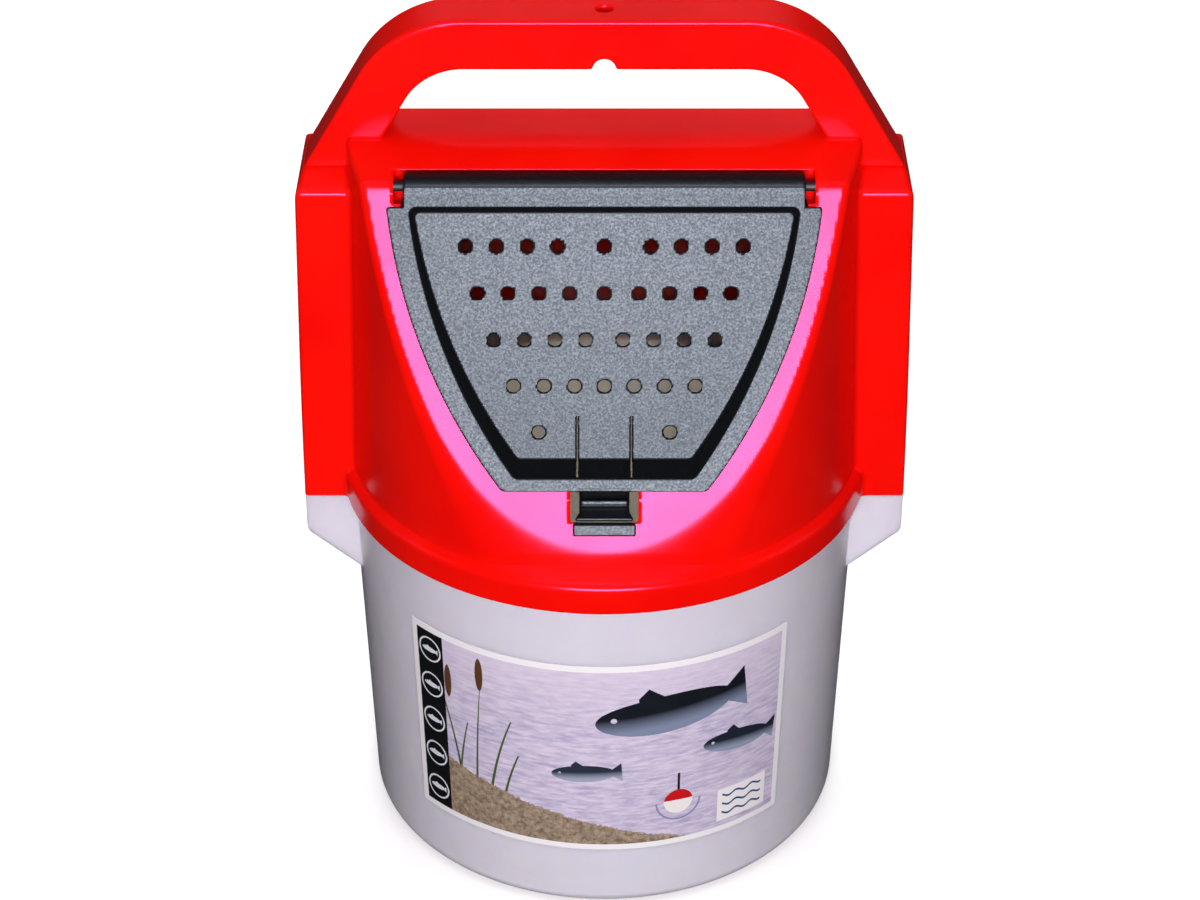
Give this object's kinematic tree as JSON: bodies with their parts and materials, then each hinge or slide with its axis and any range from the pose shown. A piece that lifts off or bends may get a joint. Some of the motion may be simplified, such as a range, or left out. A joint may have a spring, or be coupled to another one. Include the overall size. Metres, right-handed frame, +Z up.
{
  "type": "aerated bait bucket",
  "caption": "Round bait bucket with side ears under a red float housing, with a perforated flap door on a rod, a snap latch and an arched carrying handle.",
  "frame": {"origin": "centre of the ring that the bucket stands on", "axes": "+Z up, -Y out of the front with the door, +X to the right seen from the front"},
  "size_m": [0.2616, 0.23, 0.384],
  "materials": {
    "white_polyethylene": "translucent satin",
    "red_polyethylene": "smooth gloss",
    "black_polypropylene": "fine moulded grain",
    "stainless_steel": "drawn",
    "printed_film": "satin print",
    "float_foam": "closed-cell foam"
  },
  "bodies": {
    "bucket": {"bucket_shell": "white_polyethylene", "label": "printed_film", "top_housing": "red_polyethylene", "handle": "red_polyethylene", "hinge_rod": "stainless_steel", "left_float": "float_foam", "right_float": "float_foam", "ear_screws": "stainless_steel", "handle_screws": "stainless_steel"},
    "door": {"door_panel": "black_polypropylene"},
    "latch": {"latch_lever": "black_polypropylene"}
  },
  "joints": [
    {"name": "door_hinge", "type": "hinge", "parent": "bucket", "child": "door", "pos_m": [0, -0.0384, 0.3234], "axis": [-1, 0, 0], "range_deg": [0, 164]},
    {"name": "latch_flex", "type": "hinge", "parent": "door", "child": "latch", "pos_m": [0, -0.08778, 0.20402], "axis": [-1, 0, 0], "range_deg": [0, 12], "stiffness_Nm_per_rad": 0.25}
  ]
}
